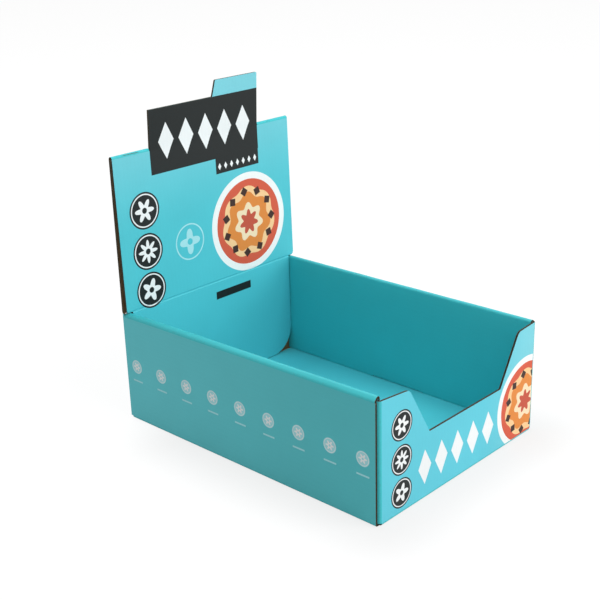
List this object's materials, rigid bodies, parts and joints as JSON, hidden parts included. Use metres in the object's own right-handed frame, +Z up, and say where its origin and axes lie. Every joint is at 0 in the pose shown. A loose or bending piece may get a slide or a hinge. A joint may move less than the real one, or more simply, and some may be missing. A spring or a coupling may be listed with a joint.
{
  "type": "display box",
  "caption": "Open counter display box folded from corrugated board: a tray with notched front and rolled side walls, and a doubled header whose front leaf swings out on its top fold.",
  "frame": {"origin": "middle of the underside of the floor, on the surface that the box stands on", "axes": "+Z up, +Y from the notched front towards the header, +X to the right as seen from the front"},
  "size_m": [0.169, 0.231, 0.2311],
  "materials": {
    "printed_board": "teal print with a soft satin coat on both sides of thin corrugated board, kraft brown at the cut edges"
  },
  "bodies": {
    "tray": {"tray": "printed_board"},
    "header_front": {"header_front": "printed_board"}
  },
  "joints": [
    {"name": "header_fold", "type": "hinge", "parent": "tray", "child": "header_front", "pos_m": [0, 0.1138, 0.1913], "axis": [-1, 0, 0], "range_deg": [0, 178]}
  ]
}
